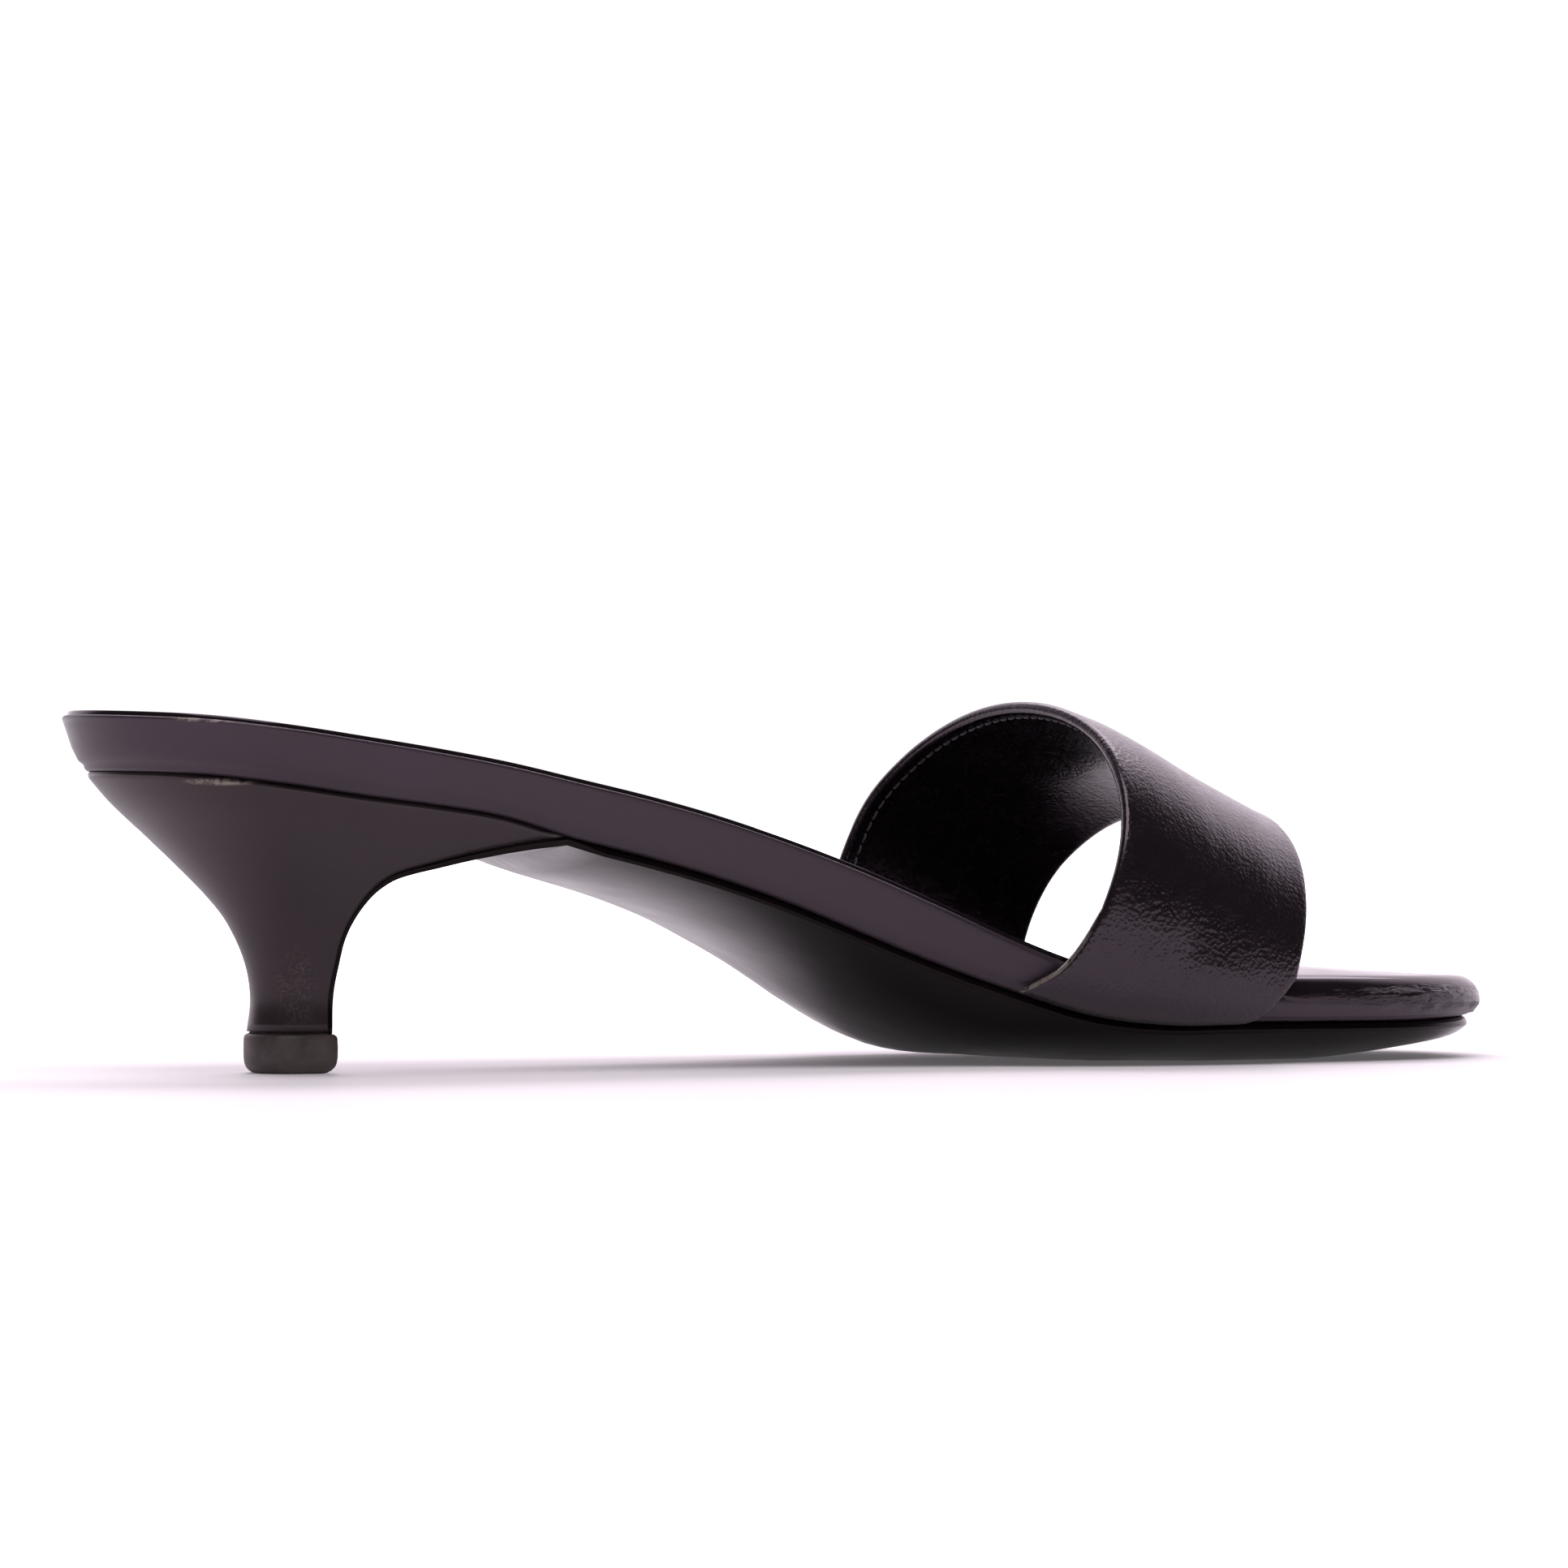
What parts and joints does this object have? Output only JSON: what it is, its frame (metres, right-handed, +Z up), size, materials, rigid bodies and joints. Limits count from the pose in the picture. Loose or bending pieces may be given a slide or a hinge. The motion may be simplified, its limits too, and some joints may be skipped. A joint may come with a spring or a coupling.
{
  "type": "slide sandal",
  "caption": "Open-toed slide sandal with a wide leather band over the forefoot, a wrapped footbed, a small flared kitten heel and a thin sole.",
  "frame": {"origin": "on the floor, under the middle of the whole shoe", "axes": "+X towards the toe, +Y towards the outer side of the foot, +Z up; the shoe stands on its heel and tread"},
  "size_m": [0.2384, 0.0818, 0.0566],
  "materials": {
    "footbed": "smooth black leather, satin",
    "sock": "smooth black lining leather, satin",
    "band": "fine-grained black leather, glossy",
    "heel": "black leather over a moulded block, satin",
    "outsole": "smooth black sole, satin",
    "top_piece": "matt black rubber"
  },
  "bodies": {
    "root": {"footbed": "footbed", "sock": "sock", "band": "band", "heel": "heel", "outsole": "outsole", "top_piece": "top_piece"}
  },
  "joints": []
}
